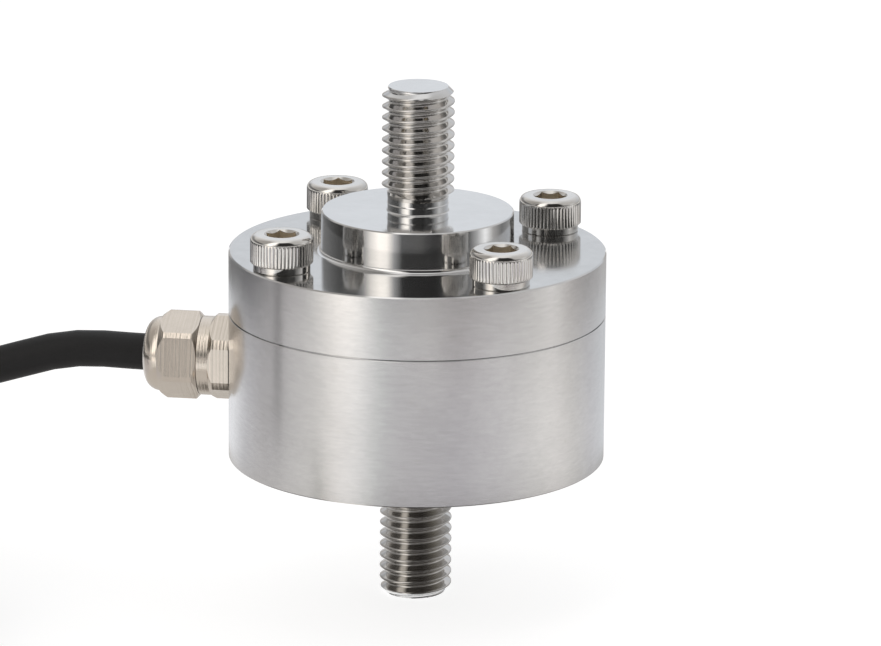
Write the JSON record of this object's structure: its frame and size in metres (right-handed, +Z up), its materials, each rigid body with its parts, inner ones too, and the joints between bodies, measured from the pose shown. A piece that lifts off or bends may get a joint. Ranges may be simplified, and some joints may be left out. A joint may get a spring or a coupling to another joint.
{
  "type": "tension and compression load cell",
  "caption": "Round steel load cell with a threaded stud at each end, a flange held by cap screws, and a side cable gland with a coiled cable.",
  "frame": {"origin": "centre of the lower stud's end face, on which the part stands upright", "axes": "+Z up the stud axis towards the upper stud; the cable gland points 8.6 degrees off -X towards +Y"},
  "size_m": [0.1573, 0.0845, 0.0722],
  "materials": {
    "housing_steel": "fine turned stainless steel, satin",
    "element_steel": "ground and polished stainless steel",
    "screw_steel": "bright stainless steel",
    "gland_nickel": "satin nickel plating on brass",
    "seal_rubber": "matt black rubber",
    "cage_nylon": "black nylon",
    "gauge_foil": "amber polyimide carrier",
    "board_laminate": "green glass-epoxy laminate",
    "spacer_nylon": "natural nylon",
    "board_screw_brass": "bright brass",
    "resistor_ceramic": "black coated ceramic",
    "lead_enamel": "enamelled copper",
    "cable_sheath": "matt black sheath",
    "tie_plastic": "black plastic coated wire",
    "core_red": "red insulation",
    "core_black": "black insulation",
    "core_green": "green insulation",
    "core_white": "white insulation",
    "shield_copper": "tinned copper strands"
  },
  "bodies": {
    "root": {"base_housing": "housing_steel", "sensing_element": "element_steel", "cap_screw_1": "screw_steel", "cap_screw_2": "screw_steel", "cap_screw_3": "screw_steel", "cap_screw_4": "screw_steel", "flange_seal_ring": "seal_rubber", "gland_face_ring": "seal_rubber", "gland_body": "gland_nickel", "gland_dome_nut": "gland_nickel", "gland_clamp_cage": "cage_nylon", "gland_seal_sleeve": "seal_rubber", "strain_gauge_1": "gauge_foil", "strain_gauge_2": "gauge_foil", "strain_gauge_3": "gauge_foil", "strain_gauge_4": "gauge_foil", "bridge_board": "board_laminate", "board_spacer_1": "spacer_nylon", "board_screw_1": "board_screw_brass", "trim_resistor_1": "resistor_ceramic", "board_spacer_2": "spacer_nylon", "board_screw_2": "board_screw_brass", "trim_resistor_2": "resistor_ceramic", "board_spacer_3": "spacer_nylon", "board_screw_3": "board_screw_brass", "trim_resistor_3": "resistor_ceramic", "gauge_lead_1": "lead_enamel", "gauge_lead_2": "lead_enamel", "gauge_lead_3": "lead_enamel", "gauge_lead_4": "lead_enamel", "gauge_lead_5": "lead_enamel", "gauge_lead_6": "lead_enamel", "gauge_lead_7": "lead_enamel", "gauge_lead_8": "lead_enamel", "core_wire_1": "core_red", "core_wire_2": "core_black", "core_wire_3": "core_green", "core_wire_4": "core_white", "cable": "cable_sheath", "cable_coil": "cable_sheath", "cable_tie": "tie_plastic", "core_end_1": "core_red", "core_end_2": "core_black", "core_end_3": "core_green", "core_end_4": "core_white", "shield_end": "shield_copper"}
  },
  "joints": []
}
